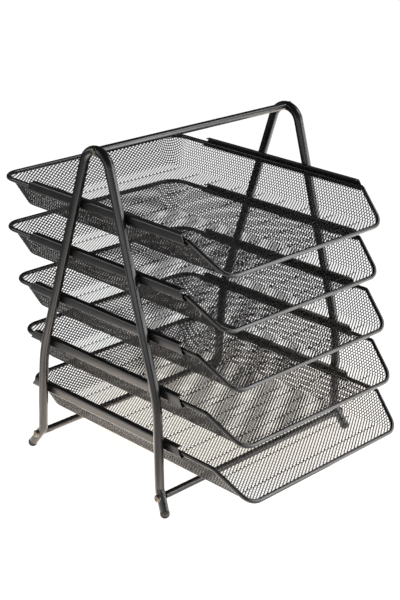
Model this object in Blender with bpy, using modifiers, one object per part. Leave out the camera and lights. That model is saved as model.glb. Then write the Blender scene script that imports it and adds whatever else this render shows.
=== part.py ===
# Desktop document rack: two bent side frames carry channel rails, and wire-rimmed trays slide in them.
# X runs to the right, -Y towards the front, Z up from the desk. Sizes along Y count from the frame tops,
# and the whole rack is then moved so that the middle of its footprint stands over the origin.
import math

import bmesh
import bpy
from mathutils import Vector

# Sizes in millimetres
MM = 0.001
TOUCH_GAP = 0.3

TUBE_RADIUS = 5.25
RACK_HEIGHT = 384.0
FRAME_X = 146.0
KNEE_Y = 92.5
KNEE_Z = 126.0
ANKLE_Y = 97.5
ANKLE_Z = 26.0
FOOT_Y = 111.0
FOOT_SPLAY = 5.0
APEX_BEND = 20.0
KNEE_BEND = 180.0
ANKLE_BEND = 14.0

CAP_RADIUS = 5.3
CAP_COLLAR = 2.0
CAP_CHAMFER = 0.5
CAP_CENTRE_Z = 4.7

HANDLE_RADIUS = 4.0
CROSSBAR_RADIUS = 4.0
CROSSBAR_Z = 19.5
SCREW_RADIUS = 1.5
SCREW_HOLE_RADIUS = 1.8
SCREW_BITE = 9.0
SCREW_HOLE_DEPTH = 12.0
SCREW_HEAD_RADIUS = 4.2
SCREW_HEAD_HEIGHT = 2.0
SOCKET_RADIUS = 1.5
SOCKET_DEPTH = 1.1

TIERS = 5
TOP_RAIL_Z = 318.0
TIER_PITCH = 59.0
RAIL_HEIGHT = 10.5
RAIL_SHEET = 1.0
RAIL_HALF_LENGTH = 116.0
RAIL_END_SLANT = 7.5
RAIL_TOP_FLANGE = 7.0
RAIL_LOW_FLANGE = 6.5
RAIL_BEND = 1.8

WIRE_RADIUS = 2.5
RIM_SIDE_PLAY = 0.8
TRAY_REAR_Y = 175.0
SHOULDER_Y = -124.5
FRONT_LIP_Y = -165.0
FRONT_LIP_DROP = 30.3
WALL_SLOPE = 0.474
REAR_CORNER = 22.0
FLOOR_CORNER = 16.0
FRONT_CORNER = 18.0
SHOULDER_BEND = 4.0
PAN_SHEET = 0.8
PAN_FLOOR_BELOW_LIP = 1.3
PAN_BEND = 3.2
OPENINGS_ACROSS = 8
OPENINGS_ALONG = 11
OPENING_BAR = 6.0
OPENING_EDGE = 3.0
WALL_BAR = 6.5
TRAY_PULLED_OUT = (0.0, 0.5, 16.5, 29.5, 41.5)

# Places that follow from the sizes above
RAIL_OUTER_X = FRAME_X - TUBE_RADIUS - TOUCH_GAP
RIM_X = RAIL_OUTER_X - RAIL_SHEET - RIM_SIDE_PLAY - WIRE_RADIUS
RIM_BELOW_RAIL_TOP = RAIL_HEIGHT - RAIL_SHEET - TOUCH_GAP - WIRE_RADIUS
FRONT_LIP_X = RIM_X - WALL_SLOPE * FRONT_LIP_DROP
PAN_FLOOR_Z = -FRONT_LIP_DROP - PAN_FLOOR_BELOW_LIP
PAN_INSET = (WIRE_RADIUS + TOUCH_GAP + PAN_SHEET / 2) * math.hypot(1.0, WALL_SLOPE)
WALL_LEAN = WALL_SLOPE * -PAN_FLOOR_Z
FLOOR_X = RIM_X - PAN_INSET - WALL_LEAN
FLOOR_REAR_Y = TRAY_REAR_Y - PAN_INSET - WALL_LEAN
CROSSBAR_ALONG = (ANKLE_Z - CROSSBAR_Z) / (ANKLE_Z - CAP_CENTRE_Z)
CROSSBAR_Y = ANKLE_Y + (FOOT_Y - ANKLE_Y) * CROSSBAR_ALONG
FOOT_LEAN = FOOT_SPLAY / math.hypot(FOOT_Y - ANKLE_Y, ANKLE_Z - CAP_CENTRE_Z)
APEX_Z = RACK_HEIGHT - TUBE_RADIUS
BEND_RISE = APEX_Z - APEX_BEND - KNEE_Z
LEG_LEAN = math.atan2(KNEE_Y, BEND_RISE) - math.asin(APEX_BEND / math.hypot(KNEE_Y, BEND_RISE))
LEG_MEET_Z = KNEE_Z + KNEE_Y / math.tan(LEG_LEAN)
FRONT_REACH_Y = FRONT_LIP_Y - WIRE_RADIUS - max(TRAY_PULLED_OUT)
REAR_REACH_Y = TRAY_REAR_Y + WIRE_RADIUS - min(TRAY_PULLED_OUT)
MIDDLE_Y = (FRONT_REACH_Y + REAR_REACH_Y) / 2

BLACK = (0.012, 0.012, 0.013)
RUBBER_BLACK = (0.010, 0.010, 0.011)
SCREW_GREY = (0.22, 0.21, 0.20)

for old in list(bpy.data.objects):
    bpy.data.objects.remove(old)

parts = bpy.data.collections.new("desktop_document_rack")
cutters = bpy.data.collections.new("cutters")
bpy.context.scene.collection.children.link(parts)
bpy.context.scene.collection.children.link(cutters)
stand = bpy.data.objects.new("rack_stand", None)
stand.location = (0.0, -MIDDLE_Y * MM, 0.0)
parts.objects.link(stand)


def finish(obj, colour, roughness, metallic, smooth=True):
    """Give a piece its own material, its shading and its place among the parts."""
    surface = bpy.data.materials.new(obj.name + "_surface")
    surface.use_nodes = True
    shader = surface.node_tree.nodes["Principled BSDF"]
    shader.inputs["Base Color"].default_value = (*colour, 1.0)
    shader.inputs["Roughness"].default_value = roughness
    shader.inputs["Metallic"].default_value = metallic
    obj.data.materials.clear()
    obj.data.materials.append(surface)
    if obj.type == "MESH":
        for face in obj.data.polygons:
            face.use_smooth = smooth
    obj.parent = stand
    parts.objects.link(obj)
    return obj


def rounded_path(corners, bends, closed=False, turn_per_step=15.0):
    """Replace each corner by an arc. Returns the points, each with the way from it to its arc's centre."""
    count = len(corners)
    points = []
    for i, corner in enumerate(corners):
        corner = Vector(corner)
        if not closed and i in (0, count - 1):
            points.append((corner, Vector((0.0, 0.0, 0.0))))
            continue
        back = (Vector(corners[i - 1]) - corner).normalized()
        ahead = (Vector(corners[(i + 1) % count]) - corner).normalized()
        half = back.angle(ahead) / 2
        centre = corner + (back + ahead).normalized() * bends[i] / math.sin(half)
        first = corner + back * bends[i] / math.tan(half) - centre
        last = corner + ahead * bends[i] / math.tan(half) - centre
        turn = first.angle(last)
        steps = max(2, round(math.degrees(turn) / turn_per_step))
        for k in range(steps + 1):
            a = math.sin((1 - k / steps) * turn) / math.sin(turn)
            b = math.sin(k / steps * turn) / math.sin(turn)
            spoke = first * a + last * b
            points.append((centre + spoke, -spoke))
    return points


def wire_curve(name, points, radius, closed, roundness):
    """A round wire along the points, with its ends closed."""
    curve = bpy.data.curves.new(name, "CURVE")
    curve.dimensions = "3D"
    curve.bevel_depth = radius * MM
    curve.bevel_resolution = roundness
    curve.use_fill_caps = True
    line = curve.splines.new("POLY")
    line.points.add(len(points) - 1)
    for knot, point in zip(line.points, points):
        knot.co = (*(Vector(point) * MM), 1.0)
    line.use_cyclic_u = closed
    line.use_smooth = True
    return bpy.data.objects.new(name, curve)


def curve_to_mesh(curve_object):
    """Turn a wire into a welded mesh, so that it can be drilled."""
    name = curve_object.name
    parts.objects.link(curve_object)
    ready = curve_object.evaluated_get(bpy.context.evaluated_depsgraph_get())
    mesh = bpy.data.meshes.new_from_object(ready)
    mesh.transform(curve_object.matrix_world)
    bpy.data.objects.remove(curve_object)
    shape = bmesh.new()
    shape.from_mesh(mesh)
    bmesh.ops.remove_doubles(shape, verts=shape.verts, dist=0.00002)
    bmesh.ops.recalc_face_normals(shape, faces=shape.faces)
    shape.to_mesh(mesh)
    shape.free()
    return bpy.data.objects.new(name, mesh)


def add_rod(shape, middle, radius, length, sides):
    """Add a cylinder along X to a mesh being built."""
    made = bmesh.ops.create_cone(shape, cap_ends=True, segments=sides, radius1=radius * MM,
                                 radius2=radius * MM, depth=length * MM)
    for vert in made["verts"]:
        x, y, z = vert.co
        vert.co = Vector((z, y, -x)) + Vector(middle) * MM


def rod_mesh(name, rods, sides):
    shape = bmesh.new()
    for middle, radius, length in rods:
        add_rod(shape, middle, radius, length, sides)
    mesh = bpy.data.meshes.new(name)
    shape.to_mesh(mesh)
    shape.free()
    return mesh


def cut_with(obj, mesh, name):
    """Take the shape of a mesh away from a piece."""
    cutter = bpy.data.objects.new(name, mesh)
    cutter.hide_render = True
    cutter.display_type = "WIRE"
    cutter.parent = stand
    cutters.objects.link(cutter)
    cut = obj.modifiers.new("cut", "BOOLEAN")
    cut.operation = "DIFFERENCE"
    cut.solver = "EXACT"
    cut.object = cutter
    return cutter


def turned(name, profile, sides):
    """Spin a profile of radius and height, written from the top down, about Z."""
    mesh = bpy.data.meshes.new(name)
    points = [(r * MM, 0.0, z * MM) for r, z in profile]
    edges = [(i, i + 1) for i in range(len(points) - 1)]
    mesh.from_pydata(points, edges, [])
    obj = bpy.data.objects.new(name, mesh)
    spin = obj.modifiers.new("spin", "SCREW")
    spin.angle = 2 * math.pi
    spin.steps = sides
    spin.render_steps = sides
    spin.use_merge_vertices = True
    spin.merge_threshold = 0.00001
    spin.use_smooth_shade = True
    return obj


SIDES = (("left", -1), ("right", 1))
ENDS = (("front", -1), ("rear", 1))
CROSSBAR_OUT = FOOT_SPLAY * CROSSBAR_ALONG
# Each screw spot has the tube's middle there and how much the tube leans outwards
SCREW_SPOTS = (("top", FRAME_X, 0.0, APEX_Z, 0.0),
               ("front", FRAME_X + CROSSBAR_OUT, -CROSSBAR_Y, CROSSBAR_Z, FOOT_LEAN),
               ("rear", FRAME_X + CROSSBAR_OUT, CROSSBAR_Y, CROSSBAR_Z, FOOT_LEAN))


def tube_face(lean, reach):
    """How far a flat end or a screw head that reaches so wide stays from the middle of a leaning tube."""
    return TUBE_RADIUS * math.hypot(1.0, lean) + reach * lean + TOUCH_GAP


# Side frames: one tube from foot to foot over the top, drilled for three screws. The feet splay outwards.
foot_end = Vector((FOOT_SPLAY, FOOT_Y, CAP_CENTRE_Z))
foot_axis = (foot_end - Vector((0.0, ANKLE_Y, ANKLE_Z))).normalized()
tube_end = foot_end - foot_axis * (CAP_COLLAR + TOUCH_GAP)
half_frame = [tuple(tube_end), (0.0, ANKLE_Y, ANKLE_Z), (0.0, KNEE_Y, KNEE_Z)]
half_bends = [0.0, ANKLE_BEND, KNEE_BEND]
other_half = [(x, -y, z) for x, y, z in reversed(half_frame)]
frame_corners = half_frame + [(0.0, 0.0, LEG_MEET_Z)] + other_half
frame_line = rounded_path(frame_corners, half_bends + [APEX_BEND] + half_bends[::-1], turn_per_step=11.0)
for side, sign in SIDES:
    line = [(sign * (FRAME_X + point.x), point.y, point.z) for point, inward in frame_line]
    frame = curve_to_mesh(wire_curve("side_frame_" + side, line, TUBE_RADIUS, False, 4))
    holes = [((sign * x, y, z), SCREW_HOLE_RADIUS, 4 * TUBE_RADIUS) for spot, x, y, z, lean in SCREW_SPOTS]
    cut_with(frame, rod_mesh("screw_holes_" + side, holes, 12), "screw_holes_" + side)
    finish(frame, BLACK, 0.38, 0.0)

# Handle and crossbars: straight bars between the frames, bored at both ends
bar_ends = {}
for name, radius, (spot, x, y, z, lean) in (("handle_bar", HANDLE_RADIUS, SCREW_SPOTS[0]),
                                            ("crossbar_front", CROSSBAR_RADIUS, SCREW_SPOTS[1]),
                                            ("crossbar_rear", CROSSBAR_RADIUS, SCREW_SPOTS[2])):
    bar_end = x - tube_face(lean, radius)
    bar_ends[spot] = bar_end
    bar = bpy.data.objects.new(name, rod_mesh(name, [((0.0, y, z), radius, 2 * bar_end)], 16))
    bores = [((sign * bar_end, y, z), SCREW_HOLE_RADIUS, 2 * SCREW_HOLE_DEPTH) for side, sign in SIDES]
    cut_with(bar, rod_mesh(name + "_bores", bores, 12), name + "_bores")
    finish(bar, BLACK, 0.38, 0.0)

# Screws: button heads outside the legs, shanks through the legs into the bars
dome = [(SCREW_HEAD_RADIUS * math.sin(math.radians(a)), SCREW_HEAD_HEIGHT * math.cos(math.radians(a)))
        for a in (0, 30, 55, 78, 90)]
for side, sign in SIDES:
    for spot, x, y, z, lean in SCREW_SPOTS:
        seat = x + tube_face(lean, SCREW_HEAD_RADIUS)
        shank_end = bar_ends[spot] - SCREW_BITE - seat
        shank = [(SCREW_RADIUS, 0.0), (SCREW_RADIUS, shank_end), (0.0, shank_end)]
        screw = turned("screw_" + spot + "_" + side, dome + shank, 16)
        screw.location = Vector((sign * seat, y, z)) * MM
        screw.rotation_euler = (0.0, sign * math.pi / 2, 0.0)
        socket_middle = (sign * (seat + SCREW_HEAD_HEIGHT), y, z)
        socket = rod_mesh(screw.name + "_socket", [(socket_middle, SOCKET_RADIUS, 2 * SOCKET_DEPTH)], 6)
        cut_with(screw, socket, screw.name + "_socket")
        finish(screw, SCREW_GREY, 0.35, 1.0)

# Foot caps: round rubber ends with a small flat on the desk
cap_profile = [(0.0, CAP_COLLAR), (CAP_RADIUS - CAP_CHAMFER, CAP_COLLAR),
               (CAP_RADIUS, CAP_COLLAR - CAP_CHAMFER)]
cap_profile += [(CAP_RADIUS * math.cos(math.radians(a)), -CAP_RADIUS * math.sin(math.radians(a)))
                for a in range(0, 91, 15)]
desk_shape = bmesh.new()
bmesh.ops.create_cube(desk_shape, size=1.0)
bmesh.ops.scale(desk_shape, verts=desk_shape.verts, vec=(3 * FRAME_X * MM, 3 * FOOT_Y * MM, 0.02))
bmesh.ops.translate(desk_shape, verts=desk_shape.verts, vec=(0.0, 0.0, -0.01))
desk = bpy.data.meshes.new("desk")
desk_shape.to_mesh(desk)
desk_shape.free()
for side, sign in SIDES:
    for end, toward in ENDS:
        cap = turned("foot_cap_" + end + "_" + side, cap_profile, 20)
        cap.location = Vector((sign * (FRAME_X + FOOT_SPLAY), toward * FOOT_Y, CAP_CENTRE_Z)) * MM
        cap_axis = Vector((sign * foot_axis.x, toward * foot_axis.y, foot_axis.z))
        cap.rotation_euler = Vector((0.0, 0.0, -1.0)).rotation_difference(cap_axis).to_euler()
        cut_with(cap, desk, cap.name + "_desk")
        finish(cap, RUBBER_BLACK, 0.7, 0.0)

# Rails: folded channels, open inwards, with the web against the legs and both ends cut on a slant
channel = [(RAIL_TOP_FLANGE, 0.0, 0.0), (0.0, 0.0, 0.0), (0.0, 0.0, -RAIL_HEIGHT),
           (RAIL_LOW_FLANGE, 0.0, -RAIL_HEIGHT)]
channel_line = [p for p, inward in rounded_path(channel, [0.0, RAIL_BEND, RAIL_BEND, 0.0], turn_per_step=30.0)]
channel_points = []
for point in channel_line:
    reach = RAIL_HALF_LENGTH + RAIL_END_SLANT * -point.z / RAIL_HEIGHT
    channel_points += [(point.x * MM, -reach * MM, point.z * MM), (point.x * MM, reach * MM, point.z * MM)]
channel_faces = [(2 * i, 2 * i + 1, 2 * i + 3, 2 * i + 2) for i in range(len(channel_line) - 1)]
for side, sign in SIDES:
    for tier in range(TIERS):
        name = "rail_" + side + "_" + str(tier + 1)
        mesh = bpy.data.meshes.new(name)
        mesh.from_pydata(channel_points, [], channel_faces)
        rail = bpy.data.objects.new(name, mesh)
        rail.location = Vector((sign * RAIL_OUTER_X, 0.0, TOP_RAIL_Z - tier * TIER_PITCH)) * MM
        rail.rotation_euler = (0.0, 0.0, math.pi if sign > 0 else 0.0)
        fold = rail.modifiers.new("sheet", "SOLIDIFY")
        fold.thickness = RAIL_SHEET * MM
        fold.offset = -1.0
        fold.use_even_offset = True
        finish(rail, BLACK, 0.38, 0.0, smooth=False)

# Trays: a closed wire rim and a pressed pan hanging inside it, drawn about the rim's own level
rim_corners = []
for sign in (-1, 1):
    run = [(sign * FRONT_LIP_X, FRONT_LIP_Y, -FRONT_LIP_DROP), (sign * RIM_X, SHOULDER_Y, 0.0),
           (sign * RIM_X, TRAY_REAR_Y, 0.0)]
    rim_corners += run if sign < 0 else run[::-1]
rim_bends = [FRONT_CORNER, SHOULDER_BEND, REAR_CORNER, REAR_CORNER, SHOULDER_BEND, FRONT_CORNER]
rim_line = rounded_path(rim_corners, rim_bends, closed=True)

# Beside the shoulder the side wall faces straight across the tray, and elsewhere it faces the corner's centre.
# Round the rear corners the fold follows the floor's own wider corner.
pan_rings = []
for point, inward in rim_line:
    if abs(point.y - SHOULDER_Y) < SHOULDER_BEND:
        inward = Vector((-point.x, 0.0, 0.0))
    room = math.hypot(inward.x, inward.y) - PAN_INSET
    inward = Vector((inward.x, inward.y, 0.0)).normalized()
    top = point + inward * PAN_INSET
    height = top.z - PAN_FLOOR_Z
    lean = min(WALL_SLOPE * height, 0.8 * room)
    fold = Vector((top.x, top.y, PAN_FLOOR_Z)) + inward * lean
    if point.y > TRAY_REAR_Y - REAR_CORNER - TOUCH_GAP:
        corner_x = math.copysign(FLOOR_X - FLOOR_CORNER, point.x)
        fold = Vector((corner_x, FLOOR_REAR_Y - FLOOR_CORNER, PAN_FLOOR_Z)) - inward * FLOOR_CORNER
        room = lean + FLOOR_CORNER
    bend = min(PAN_BEND, 0.45 * (top - fold).length, 0.9 * (room - lean))
    wall_end = fold + (top - fold).normalized() * bend
    floor_start = fold + inward * bend
    pan_rings.append((top, wall_end, wall_end * 0.25 + fold * 0.5 + floor_start * 0.25, floor_start))
levels = len(pan_rings[0])
stations = len(pan_rings)
pan_points = [point * MM for ring in pan_rings for point in ring]
pan_faces = []
for i in range(stations):
    here = i * levels
    after = (i + 1) % stations * levels
    for k in range(levels - 1):
        pan_faces.append((here + k, here + k + 1, after + k + 1, after + k))
pan_faces.append([i * levels + levels - 1 for i in reversed(range(stations))])


def spaced(first, last, count):
    """Share a length out into openings with a bar between each two."""
    pitch = (last - first + OPENING_BAR) / count
    return [(first + k * pitch, first + (k + 1) * pitch - OPENING_BAR) for k in range(count)]


def add_block(shape, across, along, up):
    """Add a box to a mesh being built, from its limits on each axis."""
    low, high = (Vector(corner) for corner in zip(across, along, up))
    made = bmesh.ops.create_cube(shape, size=1.0)["verts"]
    bmesh.ops.scale(shape, verts=made, vec=(high - low) * MM)
    bmesh.ops.translate(shape, verts=made, vec=(high + low) / 2 * MM)


# The mesh of the pan: a plain grid of square openings through its floor, its side walls and its rear wall
grid_side = FLOOR_X - PAN_BEND - OPENING_EDGE
grid_front = FRONT_LIP_Y + PAN_INSET + PAN_BEND + OPENING_EDGE
grid_rear = FLOOR_REAR_Y - PAN_BEND - FLOOR_CORNER / 2
columns = spaced(-grid_side, grid_side, OPENINGS_ACROSS)
rows = spaced(grid_front, grid_rear, OPENINGS_ALONG)
wall_band = (PAN_FLOOR_Z + WALL_BAR, -WALL_BAR)
floor_band = (PAN_FLOOR_Z - 2 * PAN_SHEET, PAN_FLOOR_Z + 2 * PAN_SHEET)
grid_shape = bmesh.new()
for row in rows:
    for column in columns:
        add_block(grid_shape, column, row, floor_band)
    if row[0] > SHOULDER_Y:
        add_block(grid_shape, (-RIM_X, -grid_side), row, wall_band)
        add_block(grid_shape, (grid_side, RIM_X), row, wall_band)
for column in columns:
    add_block(grid_shape, column, (grid_rear, TRAY_REAR_Y), wall_band)
grid = bpy.data.meshes.new("pan_openings")
grid_shape.to_mesh(grid)
grid_shape.free()

for tier in range(TIERS):
    number = str(tier + 1)
    tray = bpy.data.objects.new("tray_slide_" + number, None)
    tray.location = Vector((0.0, -TRAY_PULLED_OUT[tier],
                            TOP_RAIL_Z - tier * TIER_PITCH - RIM_BELOW_RAIL_TOP)) * MM
    tray.parent = stand
    parts.objects.link(tray)
    rim = wire_curve("tray_rim_" + number, [point for point, inward in rim_line], WIRE_RADIUS, True, 2)
    finish(rim, BLACK, 0.38, 0.0)
    mesh = bpy.data.meshes.new("tray_pan_" + number)
    mesh.from_pydata(pan_points, [], pan_faces)
    pan = bpy.data.objects.new("tray_pan_" + number, mesh)
    sheet = pan.modifiers.new("sheet", "SOLIDIFY")
    sheet.thickness = PAN_SHEET * MM
    sheet.offset = 0.0
    grid_cutter = cut_with(pan, grid, "pan_openings_" + number)
    finish(pan, BLACK, 0.45, 0.0)
    for piece in (rim, pan, grid_cutter):
        piece.parent = tray
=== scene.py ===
# %% [markdown]
# # A desktop document rack in black powder-coated steel
# Two bent tube frames stand on the desk and carry five pairs of folded rails. A tray of expanded-metal
# mesh, hung in a wire rim, slides in each pair. This lesson dresses the plain CAD solids of that rack.
# The CAD model is loaded first and never changed: each new piece takes its place from a solid, rides on
# the same body, and so still slides when the tray slides.

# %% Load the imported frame
import math

import bmesh
import bpy
import numpy as np
from mathutils import Matrix, Vector


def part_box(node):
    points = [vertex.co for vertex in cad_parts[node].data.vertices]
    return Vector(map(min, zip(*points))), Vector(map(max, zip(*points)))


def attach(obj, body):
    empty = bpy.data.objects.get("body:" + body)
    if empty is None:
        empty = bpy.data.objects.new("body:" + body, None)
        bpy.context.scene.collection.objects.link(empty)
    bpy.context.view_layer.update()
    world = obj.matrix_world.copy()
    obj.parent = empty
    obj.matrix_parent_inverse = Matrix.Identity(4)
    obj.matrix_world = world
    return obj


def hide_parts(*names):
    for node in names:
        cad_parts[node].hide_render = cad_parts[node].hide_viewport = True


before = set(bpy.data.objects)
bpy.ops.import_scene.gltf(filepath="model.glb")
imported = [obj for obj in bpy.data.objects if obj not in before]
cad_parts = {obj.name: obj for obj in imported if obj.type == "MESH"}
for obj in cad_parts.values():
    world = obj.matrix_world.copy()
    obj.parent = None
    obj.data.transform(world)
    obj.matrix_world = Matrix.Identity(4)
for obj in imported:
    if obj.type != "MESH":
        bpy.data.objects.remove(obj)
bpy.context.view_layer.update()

MM = 0.001

# %% [markdown]
# ## Colours and nodes
# Shaders work in linear light, while the colours given here are sRGB, so one function turns hex values to
# linear.

# %% Colours
def linear(hex_colour):
    """An sRGB hex colour as the linear RGBA that shaders take."""
    parts = [int(hex_colour[i:i + 2], 16) / 255 for i in (1, 3, 5)]
    return [p / 12.92 if p <= 0.04045 else ((p + 0.055) / 1.055) ** 2.4 for p in parts] + [1.0]


print("the sRGB grey #808080 is", round(linear("#808080")[0], 3), "in linear light")

# %% [markdown]
# A material's node tree is long to write by hand. One small function adds a node, fills in its settings,
# links its inputs and, on a colour ramp, sets the stops, which keeps each recipe readable. Inputs that
# share a name, as on a Math node, are linked by their number. A pattern's scale comes from its size in
# millimetres.

# %% Nodes
def add_node(tree, kind, settings=(), links=(), stops=()):
    """Add a node with its settings, the links to its inputs, and a ramp's places and hex colours."""
    node = tree.nodes.new("ShaderNode" + kind)
    for name, value in dict(settings).items():
        if name in node.inputs:
            node.inputs[name].default_value = value
        else:
            setattr(node, name, value)
    for name, source in dict(links).items():
        tree.links.new(source, node.inputs[name])
    for k, (position, colour) in enumerate(stops):
        node.color_ramp.elements[k].position = position
        node.color_ramp.elements[k].color = linear(colour)
    return node


def empty_material(name):
    """A material with nothing in it but its output."""
    material = bpy.data.materials.new(name)
    material.use_nodes = True
    material.node_tree.nodes.clear()
    return material, material.node_tree, add_node(material.node_tree, "OutputMaterial")


def per_metre(size_mm):
    """Texture scale that repeats a pattern every so many millimetres."""
    return 1.0 / (size_mm * MM)


print("a pattern that repeats every 2 mm has scale", round(per_metre(2.0)))

# %% [markdown]
# ## Powder-coated steel
# The whole rack is steel, sprayed with black polyester powder and baked. The powder melts into one thick
# skin, so what shows is the plastic skin and not the metal: IOR 1.5, no metallic, a satin gloss. It never
# flows quite flat. The fine dimples, called orange peel, break up reflections, and the film is glossier
# where it lies thicker. Tubes, rails and mesh take the coat a little differently, so one recipe makes
# three materials. The dimples are really about 0.7 mm wide and are drawn coarser so that they show.

# %% Three powder coats
COAT_IOR = 1.5
PEEL_DEPTH = 0.006 * MM
PATCH_STOPS = (0.35, 0.65)


def powder_coat(name, thick_colour, thin_colour, satin, glossy, peel_mm, patch_mm):
    """Black baked powder: colour and gloss drift in patches, orange peel bends the normals."""
    material, tree, output = empty_material(name)
    where = add_node(tree, "TexCoord").outputs["Object"]
    patch = add_node(tree, "TexNoise", {"Scale": per_metre(patch_mm), "Detail": 3.0}, {"Vector": where})
    peel = add_node(tree, "TexNoise", {"Scale": per_metre(peel_mm), "Detail": 2.0}, {"Vector": where})
    colour = add_node(tree, "ValToRGB", {}, {"Fac": patch.outputs["Fac"]},
                      zip(PATCH_STOPS, (thick_colour, thin_colour)))
    gloss = add_node(tree, "MapRange", {"From Min": PATCH_STOPS[0], "From Max": PATCH_STOPS[1],
                                        "To Min": glossy, "To Max": satin}, {"Value": patch.outputs["Fac"]})
    dimples = add_node(tree, "Bump", {"Strength": 0.5, "Distance": PEEL_DEPTH},
                       {"Height": peel.outputs["Fac"]})
    coat = add_node(tree, "BsdfPrincipled", {"IOR": COAT_IOR, "Metallic": 0.0},
                    {"Base Color": colour.outputs["Color"], "Roughness": gloss.outputs["Result"],
                     "Normal": dimples.outputs["Normal"]})
    tree.links.new(coat.outputs["BSDF"], output.inputs["Surface"])
    return material


tube_coat = powder_coat("powder_coated_steel_tube", "#101011", "#161515", 0.30, 0.22, 2.0, 30.0)
sheet_coat = powder_coat("powder_coated_steel_sheet", "#101011", "#171616", 0.34, 0.26, 2.0, 24.0)
mesh_coat = powder_coat("powder_coated_expanded_steel", "#121213", "#191817", 0.42, 0.34, 1.5, 18.0)
print("powder coats:", tube_coat.name, sheet_coat.name, mesh_coat.name)

# %% [markdown]
# ## Bent wire and tube
# Frames, bars and rims are all round stock bent round a former, so a line along the middle and a radius
# say it all. The line comes from sharp corners and bend radii, as on a workshop drawing, and each corner
# is swapped for an arc.

# %% Lines with bends
def rounded_path(corners, bends, closed=False, turn_per_step=4.0):
    """The corners with an arc in place of each, as points in millimetres."""
    count = len(corners)
    points = []
    for i, corner in enumerate(corners):
        corner = Vector(corner)
        if not closed and i in (0, count - 1):
            points.append(corner)
            continue
        back = (Vector(corners[i - 1]) - corner).normalized()
        ahead = (Vector(corners[(i + 1) % count]) - corner).normalized()
        half = back.angle(ahead) / 2
        centre = corner + (back + ahead).normalized() * bends[i] / math.sin(half)
        first = corner + back * bends[i] / math.tan(half) - centre
        last = corner + ahead * bends[i] / math.tan(half) - centre
        turn = first.angle(last)
        steps = max(2, round(math.degrees(turn) / turn_per_step))
        for k in range(steps + 1):
            a = math.sin((1 - k / steps) * turn) / math.sin(turn)
            b = math.sin(k / steps * turn) / math.sin(turn)
            points.append(centre + first * a + last * b)
    return points


square = [(0, 0, 0), (100, 0, 0), (100, 100, 0), (0, 100, 0)]
print("a square with round corners takes", len(rounded_path(square, [20] * 4, closed=True)), "points")

# %% [markdown]
# A curve with a round bevel is the natural tool for such stock, since it keeps the section square to the
# line through every bend. It is then turned into a mesh, with doubled points at its ends merged and only
# the cut ends left sharp.

# %% Round stock along a line
def round_stock(name, radius, roundness, runs, closed=False, thickness=None):
    """A round bar along one or more runs of points, all in millimetres, as a mesh."""
    curve = bpy.data.curves.new(name, "CURVE")
    curve.dimensions = "3D"
    curve.bevel_depth = radius * MM
    curve.bevel_resolution = roundness
    curve.use_fill_caps = True
    for points in runs:
        line = curve.splines.new("POLY")
        line.points.add(len(points) - 1)
        for i, (knot, point) in enumerate(zip(line.points, points)):
            knot.co = (*(Vector(point) * MM), 1.0)
            knot.radius = thickness[i] if thickness else 1.0
        line.use_cyclic_u = closed
        line.use_smooth = True
    bender = bpy.data.objects.new(name, curve)
    bpy.context.scene.collection.objects.link(bender)
    mesh = bpy.data.meshes.new_from_object(bender.evaluated_get(bpy.context.evaluated_depsgraph_get()))
    mesh.name = name
    bpy.data.objects.remove(bender)
    shape = bmesh.new()
    shape.from_mesh(mesh)
    bmesh.ops.remove_doubles(shape, verts=shape.verts, dist=0.001 * MM)
    shape.to_mesh(mesh)
    shape.free()
    mesh.shade_smooth()
    mesh.set_sharp_from_angle(angle=math.radians(50))
    return mesh


print("round stock is ready to bend")

# %% [markdown]
# Every piece is set down in the same way, so one function does it: make the object, give it its place and
# its coat, let it ride on a body of the rack, and hide the CAD solid it stands for. Pieces that are alike
# share one mesh and so one coat.

# %% Helper that sets a piece down
def place(name, mesh, material, body, node, matrix=Matrix()):
    """Make an object of a mesh, coat it, hang it on a body, and hide the CAD node it stands for."""
    piece = bpy.data.objects.new(name, mesh)
    bpy.context.scene.collection.objects.link(piece)
    piece.matrix_world = matrix
    if not mesh.materials:
        mesh.materials.append(material)
    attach(piece, body)
    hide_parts(node)
    return piece


# %% [markdown]
# ## The two side frames
# Each frame is one tube, bent over the top and again at two gentle knees and two small ankles, below
# which the feet splay outwards. The solid has the same line with fewer facets. Here the arcs are fine
# enough to stay round in a close view.

# %% Side frames
SIDES = (("left", -1), ("right", 1))
TUBE_RADIUS = 5.25
KNEE = (92.5, 126.0)
ANKLE = (97.5, 26.0)
FOOT_Y, FOOT_Z, FOOT_SPLAY = 111.0, 4.7, 5.0
CAP_COLLAR = 2.0
APEX_BEND, KNEE_BEND, ANKLE_BEND = 20.0, 180.0, 14.0

handle_low, handle_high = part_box("handle_bar")
APEX_Y = (handle_low.y + handle_high.y) / 2 / MM
APEX_Z = (handle_low.z + handle_high.z) / 2 / MM
FRAME_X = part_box("side_frame_right")[0].x / MM + TUBE_RADIUS
rise = APEX_Z - APEX_BEND - KNEE[1]
lean = math.atan2(KNEE[0], rise) - math.asin(APEX_BEND / math.hypot(KNEE[0], rise))
meet_z = KNEE[1] + KNEE[0] / math.tan(lean)
foot_end = Vector((FOOT_SPLAY, FOOT_Y, FOOT_Z))
foot_axis = (foot_end - Vector((0.0, *ANKLE))).normalized()
half_frame = [tuple(foot_end - foot_axis * CAP_COLLAR), (0.0, *ANKLE), (0.0, *KNEE)]
frame_corners = half_frame + [(0.0, 0.0, meet_z)] + [(x, -y, z) for x, y, z in half_frame[::-1]]
half_bends = [0.0, ANKLE_BEND, KNEE_BEND]
frame_line = rounded_path(frame_corners, half_bends + [APEX_BEND] + half_bends[::-1])
for side, sign in SIDES:
    line = [(sign * (FRAME_X + p.x), APEX_Y + p.y, p.z) for p in frame_line]
    tube = round_stock("frame_tube_" + side, TUBE_RADIUS, 10, [line])
    place(tube.name, tube, tube_coat, "rack", "side_frame_" + side)
print("frame tubes:", len(frame_line), "points each, tops at", round(APEX_Z + TUBE_RADIUS, 1), "mm")

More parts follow.
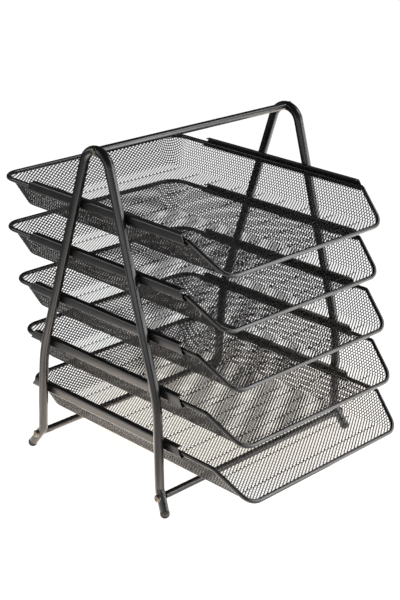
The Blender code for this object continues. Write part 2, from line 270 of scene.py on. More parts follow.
# %% [markdown]
# ## Handle and crossbars
# Three straight bars, thinner than the tubes, tie the frames together: a handle across the tops and a bar
# at each pair of ankles. Their ends are cut hollow to sit on the round tubes. A bar that runs a little
# way into the tube shows the same line, with no cutting.

# %% Bars between the frames
INTO_TUBE = 1.2
for name in ("handle_bar", "crossbar_front", "crossbar_rear"):
    low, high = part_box(name)
    middle = (low + high) / 2 / MM
    radius = (high.z - low.z) / 2 / MM
    reach = high.x / MM + INTO_TUBE
    ends = [(sign * reach, middle.y, middle.z) for side, sign in SIDES]
    rod = round_stock(name.replace("_bar", "") + "_rod", radius, 8, [ends])
    place(rod.name, rod, tube_coat, "rack", name)
    print(rod.name, "reaches", round(reach, 1), "mm to each side")

# %% [markdown]
# ## Zinc-plated screws
# Button-head socket screws hold the bars, each on a washer that takes up the slant of the tube below it.
# Zinc plating is a metal, so metallic is 1 and the IOR stays at its default; the passivated plating is a
# dull warm grey with a cloudy, slightly blotched gloss.

# %% Screw material
zinc, tree, output = empty_material("zinc_plated_steel")
where = add_node(tree, "TexCoord").outputs["Object"]
cloud = add_node(tree, "TexNoise", {"Scale": per_metre(1.6), "Detail": 4.0}, {"Vector": where})
tint = add_node(tree, "ValToRGB", {}, {"Fac": cloud.outputs["Fac"]}, ((0.0, "#3b3835"), (1.0, "#77726b")))
dull = add_node(tree, "MapRange", {"To Min": 0.28, "To Max": 0.5}, {"Value": cloud.outputs["Fac"]})
plating = add_node(tree, "BsdfPrincipled", {"Metallic": 1.0},
                   {"Base Color": tint.outputs["Color"], "Roughness": dull.outputs["Result"]})
tree.links.new(plating.outputs["BSDF"], output.inputs["Surface"])
print("screw material:", zinc.name)

# %% [markdown]
# A screw is turned, apart from its six-sided socket. Rings of points give both: each ring is a circle or
# a hexagon at some height, and neighbouring rings are joined by faces. The same function later turns the
# rubber feet.

# %% Turned pieces from rings
def turned(name, rings, points_round=36):
    """Join rings of (radius, height, six_sided) from one end to the other, closed at both ends."""
    shape = bmesh.new()
    circles = []
    for radius, height, six_sided in rings:
        circle = []
        for k in range(points_round):
            angle = 2 * math.pi * k / points_round
            off_flat = (angle + math.pi / 6) % (math.pi / 3) - math.pi / 6
            reach = radius * math.cos(math.pi / 6) / math.cos(off_flat) if six_sided else radius
            point = Vector((reach * math.cos(angle), reach * math.sin(angle), height)) * MM
            circle.append(shape.verts.new(point))
        circles.append(circle)
    for one, two in zip(circles, circles[1:]):
        for k in range(points_round):
            n = (k + 1) % points_round
            shape.faces.new((one[k], one[n], two[n], two[k]))
    shape.faces.new(circles[0][::-1])
    shape.faces.new(circles[-1])
    bmesh.ops.recalc_face_normals(shape, faces=shape.faces)
    mesh = bpy.data.meshes.new(name)
    shape.to_mesh(mesh)
    shape.free()
    mesh.shade_smooth()
    mesh.set_sharp_from_angle(angle=math.radians(35))
    return mesh


def round_rings(*pairs):
    """Plain circles from pairs of radius and height."""
    return [(radius, height, False) for radius, height in pairs]


def six_sided_rings(*pairs):
    """Hexagons from pairs of radius over the corners and height."""
    return [(radius, height, True) for radius, height in pairs]


print("a ring of radius 1 mm is written", round_rings((1.0, 0.0))[0])

# %% [markdown]
# The screw's rings start at its tip, run up the shank, out under the washer, over the domed head and down
# into the socket. All six screws share one mesh, and each points outwards from its leg.

# %% Screws
HEAD_RADIUS, HEAD_HEIGHT = 4.2, 2.0
WASHER_RADIUS, WASHER_DEPTH = 4.35, 1.7
SHANK_RADIUS, SHANK_LENGTH = 1.5, 19.9
SOCKET_RADIUS, SOCKET_DEPTH = 1.5, 1.1
SOCKET_RIM = 0.86
SOCKET_TOP = HEAD_HEIGHT * SOCKET_RIM
SOCKET_FLOOR = HEAD_HEIGHT - SOCKET_DEPTH
SHANK_CHAMFER, WASHER_EDGE, SOCKET_CHAMFER = 0.4, 0.2, 0.2
DOME_ANGLES = (80, 70, 60, 50, 42, 36)

screw_rings = round_rings(
    (SHANK_RADIUS - SHANK_CHAMFER, -SHANK_LENGTH), (SHANK_RADIUS, SHANK_CHAMFER - SHANK_LENGTH),
    (SHANK_RADIUS, -WASHER_DEPTH), (WASHER_RADIUS - WASHER_EDGE, -WASHER_DEPTH),
    (WASHER_RADIUS, WASHER_EDGE - WASHER_DEPTH), (WASHER_RADIUS, -0.25),
    (WASHER_RADIUS - 0.15, -0.1), (HEAD_RADIUS - 0.35, -0.1),
    (HEAD_RADIUS - 0.2, 0.05), (HEAD_RADIUS, 0.25))
for angle in DOME_ANGLES:
    slant = math.radians(angle)
    screw_rings += round_rings((HEAD_RADIUS * math.sin(slant), HEAD_HEIGHT * math.cos(slant)))
screw_rings += six_sided_rings(
    (SOCKET_RADIUS + SOCKET_CHAMFER, SOCKET_TOP), (SOCKET_RADIUS, SOCKET_TOP - SOCKET_CHAMFER),
    (SOCKET_RADIUS, SOCKET_FLOOR), (0.3, SOCKET_FLOOR - 0.3))
screw_mesh = turned("button_screw", screw_rings)
for side, sign in SIDES:
    for bar in ("top", "front", "rear"):
        node = "screw_" + bar + "_" + side
        low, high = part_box(node)
        outer = high.x if sign > 0 else low.x
        seat = Vector((outer - sign * HEAD_HEIGHT * MM, (low.y + high.y) / 2, (low.z + high.z) / 2))
        outwards = Matrix.Rotation(sign * math.pi / 2, 4, "Y")
        place("button_" + node, screw_mesh, zinc, "rack", node,
              Matrix.Translation(seat) @ outwards)
print("screw mesh:", len(screw_mesh.polygons), "faces, used six times")

# %% [markdown]
# ## Rubber feet
# Moulded rubber ends close the tubes. Rubber is soft and dull, IOR about 1.52, roughness near 0.8, with
# the fine grain of the mould and a paler bloom in patches.

# %% Rubber
rubber, tree, output = empty_material("moulded_black_rubber")
where = add_node(tree, "TexCoord").outputs["Object"]
bloom = add_node(tree, "TexNoise", {"Scale": per_metre(4.0), "Detail": 3.0}, {"Vector": where})
grain = add_node(tree, "TexNoise", {"Scale": per_metre(0.8), "Detail": 1.0}, {"Vector": where})
shade = add_node(tree, "ValToRGB", {}, {"Fac": bloom.outputs["Fac"]}, ((0.0, "#141312"), (1.0, "#2b2927")))
pores = add_node(tree, "Bump", {"Strength": 0.4, "Distance": 0.05 * MM}, {"Height": grain.outputs["Fac"]})
skin = add_node(tree, "BsdfPrincipled", {"IOR": 1.52, "Roughness": 0.78},
                {"Base Color": shade.outputs["Color"], "Normal": pores.outputs["Normal"]})
tree.links.new(skin.outputs["BSDF"], output.inputs["Surface"])
print("foot material:", rubber.name)

# %% [markdown]
# A cap is a collar over the tube's end, a shallow groove and a rounded tip. It follows the slant of the
# foot, so it is turned upright, tilted into line with the tube, and then cut off flat where it meets the
# desk.

# %% Foot caps
ENDS = (("front", -1), ("rear", 1))
CAP_RADIUS, CAP_CHAMFER = 5.3, 0.5
GROOVE_RADIUS = CAP_RADIUS - 0.25
cap_rings = round_rings(
    (CAP_RADIUS - CAP_CHAMFER, CAP_COLLAR), (CAP_RADIUS, CAP_COLLAR - CAP_CHAMFER), (CAP_RADIUS, 0.6),
    (GROOVE_RADIUS, 0.4), (GROOVE_RADIUS, 0.1), (CAP_RADIUS, -0.1))
for angle in range(10, 86, 8):
    slant = math.radians(angle)
    cap_rings += round_rings((CAP_RADIUS * math.cos(slant), -CAP_RADIUS * math.sin(slant)))
for side, sign in SIDES:
    for end, toward in ENDS:
        mesh = turned("rubber_foot_" + end + "_" + side, cap_rings)
        centre = Vector((sign * (FRAME_X + FOOT_SPLAY), APEX_Y + toward * FOOT_Y, FOOT_Z)) * MM
        cap_axis = Vector((sign * foot_axis.x, toward * foot_axis.y, foot_axis.z))
        tilt = Vector((0.0, 0.0, -1.0)).rotation_difference(cap_axis)
        mesh.transform(Matrix.Translation(centre) @ tilt.to_matrix().to_4x4())
        shape = bmesh.new()
        shape.from_mesh(mesh)
        bmesh.ops.bisect_plane(shape, geom=shape.verts[:] + shape.edges[:] + shape.faces[:],
                               plane_co=(0, 0, 0), plane_no=(0, 0, -1), clear_outer=True)
        bmesh.ops.holes_fill(shape, edges=[e for e in shape.edges if e.is_boundary], sides=0)
        shape.to_mesh(mesh)
        shape.free()
        place(mesh.name, mesh, rubber, "rack", "foot_cap_" + end + "_" + side)
print("rubber feet rest on the desk at z = 0")

# %% [markdown]
# ## Rails
# Each rail is a strip of sheet folded into a channel that lies on its side, with its ends cut on a slant.
# The section is drawn as one closed outline, outer bend and inner bend, and run along the rail. A bevel
# softens the cut edges, because powder draws into a round bead there, and that bead catches the light.

# %% Rails
RAIL_HEIGHT, RAIL_SHEET, RAIL_BEND = 10.5, 1.0, 1.8
RAIL_HALF_LENGTH, RAIL_END_SLANT = 116.0, 7.5
TOP_FLANGE, LOW_FLANGE = 7.0, 6.5
INNER_BEND = RAIL_BEND - RAIL_SHEET
BEAD_WIDTH = 0.22 * MM
outer = rounded_path([(TOP_FLANGE, 0, 0), (0, 0, 0), (0, 0, -RAIL_HEIGHT), (LOW_FLANGE, 0, -RAIL_HEIGHT)],
                     [0, RAIL_BEND, RAIL_BEND, 0], turn_per_step=15.0)
inner = rounded_path([(TOP_FLANGE, 0, -RAIL_SHEET), (RAIL_SHEET, 0, -RAIL_SHEET),
                      (RAIL_SHEET, 0, RAIL_SHEET - RAIL_HEIGHT), (LOW_FLANGE, 0, RAIL_SHEET - RAIL_HEIGHT)],
                     [0, INNER_BEND, INNER_BEND, 0], turn_per_step=15.0)
section = outer + inner[::-1]
shape = bmesh.new()
rows = []
for toward in (-1, 1):
    row = []
    for p in section:
        reach = RAIL_HALF_LENGTH - RAIL_END_SLANT * p.z / RAIL_HEIGHT
        row.append(shape.verts.new(Vector((p.x, toward * reach, p.z)) * MM))
    rows.append(row)
count = len(section)
for k in range(count):
    shape.faces.new((rows[0][k], rows[0][(k + 1) % count], rows[1][(k + 1) % count], rows[1][k]))
last = len(outer) - 1
for row in rows:
    for k in range(last):
        shape.faces.new((row[k], row[k + 1], row[count - 2 - k], row[count - 1 - k]))
bmesh.ops.recalc_face_normals(shape, faces=shape.faces)
rail_mesh = bpy.data.meshes.new("channel_rail")
shape.to_mesh(rail_mesh)
shape.free()
rail_mesh.shade_smooth()
rail_mesh.set_sharp_from_angle(angle=math.radians(40))
print("rail section:", count, "points")

# %% [markdown]
# In the mesh the rail's back lies at x = 0 and its top at z = 0. So a copy needs only the outer top edge
# of its solid and, on the right, half a turn, because there the channel opens the other way.

# %% Place the rails
TIERS = 5
for side, sign in SIDES:
    for tier in range(1, TIERS + 1):
        node = "rail_" + side + "_" + str(tier)
        low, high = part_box(node)
        corner = Vector((high.x if sign > 0 else low.x, APEX_Y * MM, high.z))
        turn = Matrix.Rotation(math.pi if sign > 0 else 0.0, 4, "Z")
        rail = place("channel_" + node, rail_mesh, sheet_coat, "rack", node,
                     Matrix.Translation(corner) @ turn)
        bead = rail.modifiers.new("powder_bead", "BEVEL")
        bead.width = BEAD_WIDTH
        bead.segments = 2
        bead.limit_method = "ANGLE"
        bead.angle_limit = math.radians(50)
print("rails placed:", len(SIDES) * TIERS)

# %% [markdown]
# ## Wire rims
# The rim is one closed wire: straight along the sides, down over two shoulders to the low front lip, and
# round the corners. Where the wire is bent sharply over a shoulder it is nipped a little thinner, which a
# curve gives through the radius of its points.

# %% Wire rims
WIRE_RADIUS = 2.5
RIM_X, TRAY_REAR_Y, SHOULDER_Y = 136.15, 175.0, -124.5
FRONT_LIP_Y, FRONT_LIP_DROP = -165.0, 30.3
WALL_SLOPE = 0.474
REAR_CORNER, FRONT_CORNER, SHOULDER_BEND = 22.0, 18.0, 4.0
NIP = 0.16
FRONT_LIP_X = RIM_X - WALL_SLOPE * FRONT_LIP_DROP
half_rim = [(FRONT_LIP_X, FRONT_LIP_Y, -FRONT_LIP_DROP), (RIM_X, SHOULDER_Y, 0.0), (RIM_X, TRAY_REAR_Y, 0.0)]
rim_corners = [(-x, y, z) for x, y, z in half_rim] + half_rim[::-1]
rim_bends = [FRONT_CORNER, SHOULDER_BEND, REAR_CORNER, REAR_CORNER, SHOULDER_BEND, FRONT_CORNER]
rim_line = rounded_path(rim_corners, rim_bends, closed=True, turn_per_step=6.0)
thickness = [1.0 - NIP * max(0.0, 1.0 - abs(p.y - SHOULDER_Y) / SHOULDER_BEND) for p in rim_line]
rim_mesh = round_stock("rim_wire", WIRE_RADIUS, 6, [rim_line], closed=True, thickness=thickness)
tray_places = []
for tier in range(1, TIERS + 1):
    node = "tray_rim_" + str(tier)
    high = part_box(node)[1]
    spot = Vector((0.0, high.y - (TRAY_REAR_Y + WIRE_RADIUS) * MM, high.z - WIRE_RADIUS * MM))
    tray_places.append(Matrix.Translation(spot))
    place("rim_wire_" + str(tier), rim_mesh, tube_coat, "tray_" + str(tier), node,
          tray_places[-1])
print("rim heights in mm:", [round(matrix.translation.z / MM, 1) for matrix in tray_places])

# %% [markdown]
# ## Expanded-metal mesh
# Expanded metal starts as solid sheet. A press slits it in staggered rows and pulls it open into
# diamonds, all still one piece. A texture with holes would vanish edge-on, so the strands here are real:
# diamonds 6 mm by 3.7 mm, with strands about 1.3 mm wide. Each strand has a ridge along its middle and a
# flat back, which with smooth shading reads as a rounded, powder-coated strand for few faces. The pull
# also turns the strands out of the sheet, so their edges lie at different heights.
#
# The mesh is laid out flat first, then folded up into a pan the way the press does it: points near the
# middle stay on the floor, and points further out run round the fold and up the leaning wall. Round a
# rear corner the floor has a wide corner of its own, so the wall leans out further there to meet the rim.

# %% Fold a flat sheet into a pan
SHEET = 0.14
FLOOR_BELOW_LIP = 1.3
PAN_DEPTH = FRONT_LIP_DROP + FLOOR_BELOW_LIP
FOLD_RADIUS = 5.0
FLOOR_CORNER = 16.0
RIM_TO_WALL = (WIRE_RADIUS + SHEET / 2) * math.hypot(1.0, WALL_SLOPE)
WALL_TOP = np.array([RIM_X - RIM_TO_WALL, TRAY_REAR_Y - RIM_TO_WALL])
FLOOR_EDGE = WALL_TOP - WALL_SLOPE * PAN_DEPTH
CORE_HIGH = FLOOR_EDGE - FLOOR_CORNER
CORE_LOW = np.array([-CORE_HIGH[0], 2 * FRONT_LIP_Y])


def wall_reach(out):
    """How far the wall leans out on its way up, for each direction seen from above."""
    way = np.maximum(np.abs(out), 1e-6)
    straight = ((WALL_TOP - CORE_HIGH) / way).min(1)
    corner = np.array([RIM_X, TRAY_REAR_Y]) - REAR_CORNER - CORE_HIGH
    along = way @ corner
    arc = along + np.sqrt(np.maximum(along ** 2 - corner @ corner + (REAR_CORNER - RIM_TO_WALL) ** 2, 0.0))
    on_arc = (way * straight[:, None] > corner).all(1)
    return np.where(on_arc, arc, straight) - FLOOR_CORNER


def folded(flat):
    """Places and facing directions of flat sheet points, in millimetres, once pressed into the pan."""
    core = np.clip(flat, CORE_LOW, CORE_HIGH)
    away = flat - core
    run = np.hypot(away[:, 0], away[:, 1])
    out = away / np.maximum(run, 1e-9)[:, None]
    wall_angle = np.arctan2(PAN_DEPTH, wall_reach(out))
    fold_start = FLOOR_CORNER - FOLD_RADIUS * np.tan(wall_angle / 2)
    turn = np.clip((run - fold_start) / FOLD_RADIUS, 0.0, wall_angle)
    wall = np.maximum(run - fold_start - FOLD_RADIUS * wall_angle, 0.0)
    across = np.minimum(run, fold_start) + FOLD_RADIUS * np.sin(turn) + wall * np.cos(wall_angle)
    height = FOLD_RADIUS * (1 - np.cos(turn)) + wall * np.sin(wall_angle)
    points = np.column_stack([core + out * across[:, None], height - PAN_DEPTH])
    facing = np.column_stack([-out * np.sin(turn)[:, None], np.cos(turn)])
    return points, facing


print("folded floor", np.round(FLOOR_EDGE, 1), "mm from the middle to its edges")

# %% [markdown]
# The mesh ends at the rim, so each point has to be told inside or outside the wire's line, and by how
# much. The gap is the distance to the nearest stretch of the line. A point is inside if a ray from it to
# the right meets the line an odd number of times.

# %% Distance from the rim
def inside_rim(points):
    """How far each point lies inside the rim's line, seen from above."""
    line = np.array([(p.x, p.y) for p in rim_line])
    ahead = np.roll(line, -1, axis=0) - line
    spot = points[:, None, :2] - line[None]
    along = np.clip((spot * ahead).sum(2) / (ahead ** 2).sum(1), 0.0, 1.0)
    gap = np.hypot(*np.moveaxis(spot - along[..., None] * ahead, 2, 0)).min(1)
    y, x = points[:, 1, None], points[:, 0, None]
    spans = (line[:, 1] > y) != (np.roll(line[:, 1], -1) > y)
    with np.errstate(divide="ignore", invalid="ignore"):
        meets = line[:, 0] + (y - line[:, 1]) / ahead[:, 1] * ahead[:, 0]
    odd = (spans & (x < meets)).sum(1) % 2 == 1
    return np.where(odd, gap, -gap)


print("the middle lies", round(inside_rim(np.zeros((1, 3)))[0], 1), "mm inside the rim")

# %% [markdown]
# The diamonds sit on a lattice in which every second point is a crossing of strands and every other one
# the middle of a hole. The lattice starts larger than the sheet, and diamonds that pass the rim are
# dropped.

# %% Lay out the diamonds
LONG_WAY, SHORT_WAY = 6.0, 3.7
RIM_REACH = 1.3
AROUND = ((-1, 0), (0, -1), (1, 0), (0, 1))
step = np.array([LONG_WAY / 2, SHORT_WAY / 2])
half_columns, half_rows = 60, 120
cells = [(i, j) for j in range(-half_rows, half_rows) for i in range(-half_columns, half_columns)
         if (i + j) % 2]
middles = np.array(cells) * step
kept = inside_rim(folded(middles)[0]) > RIM_REACH
cells = [cell for cell, keep in zip(cells, kept) if keep]
crossings = sorted({(i + a, j + b) for i, j in cells for a, b in AROUND})
number = {crossing: k for k, crossing in enumerate(crossings)}
flat = np.array(crossings) * step
print(len(cells), "holes and", len(crossings), "strand crossings in one pan")

# %% [markdown]
# Crossings that stick out past the rim are drawn back to the wire, towards a point well inside the pan.
# How far out each may stay is found by halving: try the middle of what is left, and keep the half with
# the rim in it.

# %% Draw the outer crossings back to the rim
RIM_GAP = 2.3
WELL_INSIDE = np.array([85.0, 115.0])
HALVINGS = 16
past = inside_rim(folded(flat)[0]) < RIM_GAP
home = np.clip(flat[past], -WELL_INSIDE, WELL_INSIDE)
near, far = np.zeros(len(home)), np.ones(len(home))
for halving in range(HALVINGS):
    middle = (near + far) / 2
    fits = inside_rim(folded(home + (flat[past] - home) * middle[:, None])[0]) > RIM_GAP
    near, far = np.where(fits, middle, near), np.where(fits, far, middle)
flat[past] = home + (flat[past] - home) * near[:, None]
print(past.sum(), "crossings drawn back")

# %% [markdown]
# A hole is its diamond drawn in by half a strand on each side. Pressed creases cross the floor about every
# 35 mm to stiffen it: the sheet dips there and the holes close up, which reads as a dotted dark line.

# %% Holes and creases
STRAND = 1.26
CREASE_PITCH, CREASE_DEPTH, CREASE_WIDTH, CREASE_FADE = 35.15, 0.8, 2.4, 8.0
in_radius = LONG_WAY * SHORT_WAY / 2 / math.hypot(LONG_WAY, SHORT_WAY)
HOLE_SHARE = 1.0 - STRAND / 2 / in_radius
CREASED_SHARE = 0.5 * HOLE_SHARE
CREASE_ROWS = round(CREASE_PITCH / (SHORT_WAY / 2))
hole_flat = np.empty((len(cells), 4, 2))
for k, (i, j) in enumerate(cells):
    corners = flat[[number[i + a, j + b] for a, b in AROUND]]
    centre = corners.mean(0)
    creased = j % CREASE_ROWS == 0 and (np.abs(centre) < FLOOR_EDGE - FOLD_RADIUS).all()
    hole_flat[k] = centre + (corners - centre) * (CREASED_SHARE if creased else HOLE_SHARE)


def lifted(flat_points, lift):
    """Pan points raised off the middle of the sheet, in millimetres, and dipped along the creases."""
    points, facing = folded(flat_points)
    pitch = CREASE_ROWS * SHORT_WAY / 2
    off = np.abs(flat_points[:, 1] - np.round(flat_points[:, 1] / pitch) * pitch)
    dip = CREASE_DEPTH * np.clip(1.0 - off / CREASE_WIDTH, 0.0, 1.0)
    to_fold = FLOOR_EDGE[0] - FOLD_RADIUS - np.abs(flat_points[:, 0])
    points = points + facing * np.reshape(lift, (-1, 1))
    points[:, 2] -= dip * np.clip(to_fold / CREASE_FADE, 0.0, 1.0)
    return points * MM


print("creases every", CREASE_ROWS * SHORT_WAY / 2, "mm")

# %% [markdown]
# Each hole is joined to the four crossings round it on the upper side, and across the strand to the hole
# beside it on the back. A strand with no hole beside it lies along the rim, so it gets back points and an
# outer face of its own.

# %% Build the strands
total, cell_count = len(crossings), len(cells)
cell_number = {cell: k for k, cell in enumerate(cells)}
faces = []
edge_back = {}
for k, (i, j) in enumerate(cells):
    corner = [number[i + a, j + b] for a, b in AROUND]
    hole = [total + 4 * k + n for n in range(4)]
    for n in range(4):
        m = (n + 1) % 4
        faces.append((corner[n], corner[m], hole[m], hole[n]))
        beside = cell_number.get((i + AROUND[n][0] + AROUND[m][0], j + AROUND[n][1] + AROUND[m][1]))
        if beside is None:
            for c in (corner[n], corner[m]):
                edge_back.setdefault(c, total + 4 * cell_count + len(edge_back))
            behind = edge_back[corner[m]], edge_back[corner[n]]
            faces.append((hole[n], hole[m], *behind))
            faces.append((behind[1], behind[0], corner[m], corner[n]))
        elif beside > k:
            other = total + 4 * beside
            faces.append((hole[n], hole[m], other + (m + 1) % 4, other + (n + 3) % 4))
print(len(faces), "faces along the strands,", len(edge_back), "crossings on the edge")

# %% [markdown]
# On the back, each crossing leaves a small patch open between the strands that meet there. Four holes
# close it with one face. At the rim, where holes are missing, those that are there close it with the
# edge's back point.

# %% Close the backs of the crossings
CLOCKWISE = (((1, 0), 0), ((0, -1), 3), ((-1, 0), 2), ((0, 1), 1))
for k, (i, j) in enumerate(crossings):
    ring = [cell_number.get((i + a, j + b)) for (a, b), n in CLOCKWISE]
    holes = [None if c is None else total + 4 * c + n for c, (offset, n) in zip(ring, CLOCKWISE)]
    if None not in holes:
        faces.append(holes)
        continue
    start = holes.index(None)
    run = []
    for hole in holes[start + 1:] + holes[:start + 1]:
        if hole is not None:
            run.append(hole)
            continue
        if len(run) > 1:
            faces.append(run + [edge_back[k]])
        run = []
print(len(faces), "faces with the backs closed")

# %% [markdown]
# The points are lifted off the sheet's middle last: crossings to its upper side, holes to its back. The
# twist sinks the front corner of each hole and raises its rear corner.

# %% One pan
TWIST = 0.42
edge_order = sorted(edge_back, key=edge_back.get)
hole_lift = np.tile([0.0, -TWIST, 0.0, TWIST], cell_count) - SHEET / 2
points = np.vstack([lifted(flat, SHEET / 2), lifted(hole_flat.reshape(-1, 2), hole_lift),
                    lifted(flat[edge_order], -SHEET / 2)])
pan_mesh = bpy.data.meshes.new("expanded_metal_pan")
pan_mesh.from_pydata(points.tolist(), [], faces)
pan_mesh.shade_smooth()
pan_mesh.validate()
pan_mesh.calc_loop_triangles()
print("one pan:", len(pan_mesh.loop_triangles), "triangles")

# %% [markdown]
# All five pans are the same pressing, so five objects share one mesh, each set down at its own tray.

# %% Place the pans
for tier, matrix in enumerate(tray_places, start=1):
    place("mesh_pan_" + str(tier), pan_mesh, mesh_coat, "tray_" + str(tier),
          "tray_pan_" + str(tier), matrix)
print("pans placed:", TIERS)

# %% [markdown]
# ## Camera
# The photograph was taken from the front left, a little above the rack, with a longish lens. The camera's
# place and turn were found by matching known corners of the rack to the picture. The picture is 400 by
# 600, so its long side sets the sensor width.

# %% Camera
CAMERA_PLACE = Vector((-1.02764, -0.99044, 0.75771))
AZIMUTH, ELEVATION, ROLL = math.radians(-45.866), math.radians(22.038), math.radians(1.316)
FOCAL_PIXELS, LONG_SIDE_PIXELS, SENSOR = 1356.8, 600, 36.0
back_way = Vector((math.sin(AZIMUTH) * math.cos(ELEVATION), -math.cos(AZIMUTH) * math.cos(ELEVATION),
                   math.sin(ELEVATION)))
right_way = Vector((math.cos(AZIMUTH), math.sin(AZIMUTH), 0.0))
up_way = back_way.cross(right_way)
rolled_right = right_way * math.cos(ROLL) + up_way * math.sin(ROLL)
rolled_up = up_way * math.cos(ROLL) - right_way * math.sin(ROLL)
lens = bpy.data.cameras.new("studio_camera")
lens.sensor_width = SENSOR
lens.lens = FOCAL_PIXELS * SENSOR / LONG_SIDE_PIXELS
camera = bpy.data.objects.new("studio_camera", lens)
bpy.context.scene.collection.objects.link(camera)
turned_axes = Matrix((rolled_right, rolled_up, back_way)).transposed().to_4x4()
camera.matrix_world = Matrix.Translation(CAMERA_PLACE) @ turned_axes
bpy.context.scene.camera = camera
print("lens", round(lens.lens, 1), "mm")

# %% [markdown]
# ## Table
# The rack stands on a plain white table. To the camera it shows as white at strength 1, without any more
# light on the rack, and reflections near the rack see the same white, fading with distance. A grey matt
# part takes the lamps' light and so keeps the rack's soft shadow. Under the rack the white is painted a
# touch warm and dim, as a painted warm shade of the rack on the table.

# %% Table material
WHITE_WITHIN, WHITE_UNTIL, FAR_WHITE = 0.33, 0.80, 0.06
# painted warm shade under the rack: its centre, and the distances over which it fades to plain white
PAINTED_SHADE_CENTRE, PAINTED_SHADE_WITHIN, PAINTED_SHADE_UNTIL = (0.09, 0.04, 0.0), 0.14, 0.24
table_white, tree, output = empty_material("matt_white_table")
path = add_node(tree, "LightPath").outputs
where = add_node(tree, "TexCoord").outputs["Object"]
away = add_node(tree, "VectorMath", {"operation": "LENGTH"}, {"Vector": where})
nearby = add_node(tree, "MapRange", {"From Min": WHITE_WITHIN, "From Max": WHITE_UNTIL,
                                     "To Min": 1.0, "To Max": FAR_WHITE}, {"Value": away.outputs["Value"]})
mirrored = add_node(tree, "Math", {"operation": "MAXIMUM"},
                    {0: path["Is Glossy Ray"], 1: path["Is Transmission Ray"]})
mirrored_white = add_node(tree, "Math", {"operation": "MULTIPLY"},
                          {0: mirrored.outputs["Value"], 1: nearby.outputs["Result"]})
white = add_node(tree, "Math", {"operation": "MAXIMUM"},
                 {0: path["Is Camera Ray"], 1: mirrored_white.outputs["Value"]})
# painted warm shade: the table's white is tinted warm in a small circle under the rack and fades to plain
# white further out
under = add_node(tree, "VectorMath", {"operation": "DISTANCE"}, {"Vector": where})
under.inputs[1].default_value = PAINTED_SHADE_CENTRE
beyond = add_node(tree, "MapRange", {"From Min": PAINTED_SHADE_WITHIN, "From Max": PAINTED_SHADE_UNTIL},
                  {"Value": under.outputs["Value"]})
painted_shade_tone = add_node(tree, "ValToRGB", {}, {"Fac": beyond.outputs["Result"]},
                ((0.0, "#fff9f1"), (1.0, "#ffffff")))
glow = add_node(tree, "Emission", {}, {"Color": painted_shade_tone.outputs["Color"], "Strength": white.outputs["Value"]})
matt = add_node(tree, "BsdfDiffuse", {"Color": linear("#8c8c8c")})
both = add_node(tree, "AddShader", {}, {0: matt.outputs["BSDF"], 1: glow.outputs["Emission"]})
tree.links.new(both.outputs["Shader"], output.inputs["Surface"])
print("table white within", WHITE_WITHIN, "m of the rack's middle")

# %% [markdown]
# The table top is one large disc whose far edge lies near the horizon, where table and room are both
# white to the camera.

# %% Table top
FLOOR_RADIUS = 14.0
shape = bmesh.new()
bmesh.ops.create_circle(shape, cap_ends=True, segments=96, radius=FLOOR_RADIUS)
floor_mesh = bpy.data.meshes.new("studio_floor")
shape.to_mesh(floor_mesh)
shape.free()
floor_mesh.materials.append(table_white)
floor = bpy.data.objects.new("studio_floor", floor_mesh)
bpy.context.scene.collection.objects.link(floor)
print("floor radius", FLOOR_RADIUS, "m")

# %% [markdown]
# ## Room
# To the camera the room is white, like the table. For everything else it is dim, a little lighter low
# down, so that the upward faces of the rack go black.

# %% Room
HORIZON, ZENITH, FADE_HEIGHT = 0.3, 0.06, 0.25
room = bpy.data.worlds.new("dim_room")
room.use_nodes = True
bpy.context.scene.world = room
tree = room.node_tree
tree.nodes.clear()
path = add_node(tree, "LightPath").outputs
way = add_node(tree, "SeparateXYZ", {}, {"Vector": add_node(tree, "TexCoord").outputs["Generated"]})
fade = add_node(tree, "MapRange", {"From Min": 0.0, "From Max": FADE_HEIGHT,
                                   "To Min": HORIZON, "To Max": ZENITH}, {"Value": way.outputs["Z"]})
strength = add_node(tree, "Mix", {"data_type": "FLOAT"}, {"Factor": path["Is Camera Ray"]})
tree.links.new(fade.outputs["Result"], strength.inputs["A"])
strength.inputs["B"].default_value = 1.0
sky = add_node(tree, "Background", {"Color": linear("#ffffff")}, {"Strength": strength.outputs["Result"]})
tree.links.new(sky.outputs["Background"], add_node(tree, "OutputWorld").inputs["Surface"])
print("room lit from low down")

# %% [markdown]
# ## Lamps
# Black satin shows little of its own colour: what the eye reads is what it mirrors. So each lamp is set
# where some face of the rack should mirror it. A tall panel close by at the front right draws the grey
# line along the front rims and the handle, and stays out of the rear rims. Strips at the front and the
# right draw the light edge of the legs, a panel at the rear left draws the folds of the rails, and low
# strips lift the walls of mesh. Flat lamps that lie on the table stand for the light that it throws up,
# warm and brightest under the rack, on the lower trays and rails. No lamp shows itself to the camera.

# %% A soft lamp
def soft_lamp(name, place_at, look_at, width, height, radiance, colour):
    """A soft rectangular lamp that shines at a point, as bright as asked for over its face."""
    light = bpy.data.lights.new(name, "AREA")
    light.shape = "RECTANGLE"
    light.size, light.size_y = width, height
    light.energy = radiance * math.pi * width * height
    light.color = linear(colour)[:3]
    lamp = bpy.data.objects.new(name, light)
    bpy.context.scene.collection.objects.link(lamp)
    lamp.location = place_at
    lamp.rotation_euler = (Vector(look_at) - Vector(place_at)).to_track_quat("-Z", "Y").to_euler()
    lamp.visible_camera = False


print("a lamp of 1 square metre and radiance 1 takes", round(math.pi, 2), "W")

# %% Standing and lying lamps
WHITE, WARM = "#ffffff", "#ffeedd"
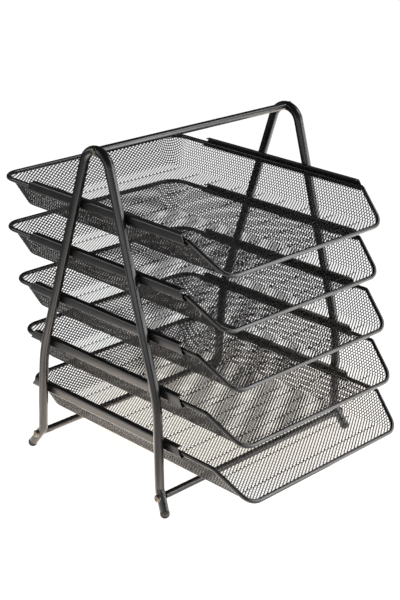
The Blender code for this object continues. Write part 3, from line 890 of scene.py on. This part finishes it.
# name, centre, point it shines at, width, height, radiance, colour
STANDING = (
    ("front_right_panel", (0.62, -1.00, 0.50), (0.0, -1.00, 0.50), 0.74, 0.84, 8.0, WHITE),
    ("top_right_panel", (0.65, -0.40, 0.95), (0.45, -0.35, 0.0), 0.4, 0.5, 6.0, WHITE),
    ("right_strip", (0.42, -0.15, 0.14), (0.0, -0.15, 0.14), 0.8, 0.24, 1.5, WARM),
    ("left_strip", (-1.0, -0.30, 0.20), (0.0, -0.30, 0.14), 1.6, 0.36, 2.0, WHITE),
    ("front_strip", (0.12, -1.15, 0.36), (0.0, -0.1, 0.25), 0.60, 0.36, 7.0, WHITE),
    ("far_right_strip", (0.85, -0.30, 0.25), (0.15, -0.05, 0.25), 0.70, 0.35, 4.0, WHITE),
    ("rear_left_panel", (-0.85, 0.80, 0.65), (-0.1, 0.0, 0.25), 0.60, 0.70, 3.0, WHITE),
    ("camera_side", (-0.80, -0.78, 0.47), (0.0, 0.0, 0.15), 0.60, 0.35, 1.3, WHITE),
)
# name, centre, width, height, radiance, colour
LYING = (
    ("table_right", (0.50, -0.50, 0.002), 0.90, 0.90, 2.2, WHITE),
    ("table_front", (-0.12, -0.20, 0.002), 0.80, 0.80, 0.4, WARM),
    ("table_left", (-0.295, 0.13, 0.003), 0.17, 0.22, 2.4, WARM),
    ("table_edge", (-0.165, 0.0, 0.004), 0.07, 0.44, 2.7, WARM),
    ("table_middle", (0.0, 0.07, 0.004), 0.24, 0.28, 3.0, WARM),
)
for name, centre, aim, width, height, radiance, colour in STANDING:
    soft_lamp(name, centre, aim, width, height, radiance, colour)
for name, centre, width, height, radiance, colour in LYING:
    soft_lamp(name, centre, (centre[0], centre[1], 1.0), width, height, radiance, colour)
print(len(STANDING), "standing lamps and", len(LYING), "lying on the table")

# %% [markdown]
# ## View
# The Standard view transform shows a colour about as it is written, and white as white.

# %% View transform
bpy.context.scene.view_settings.view_transform = "Standard"
print("view transform:", bpy.context.scene.view_settings.view_transform)
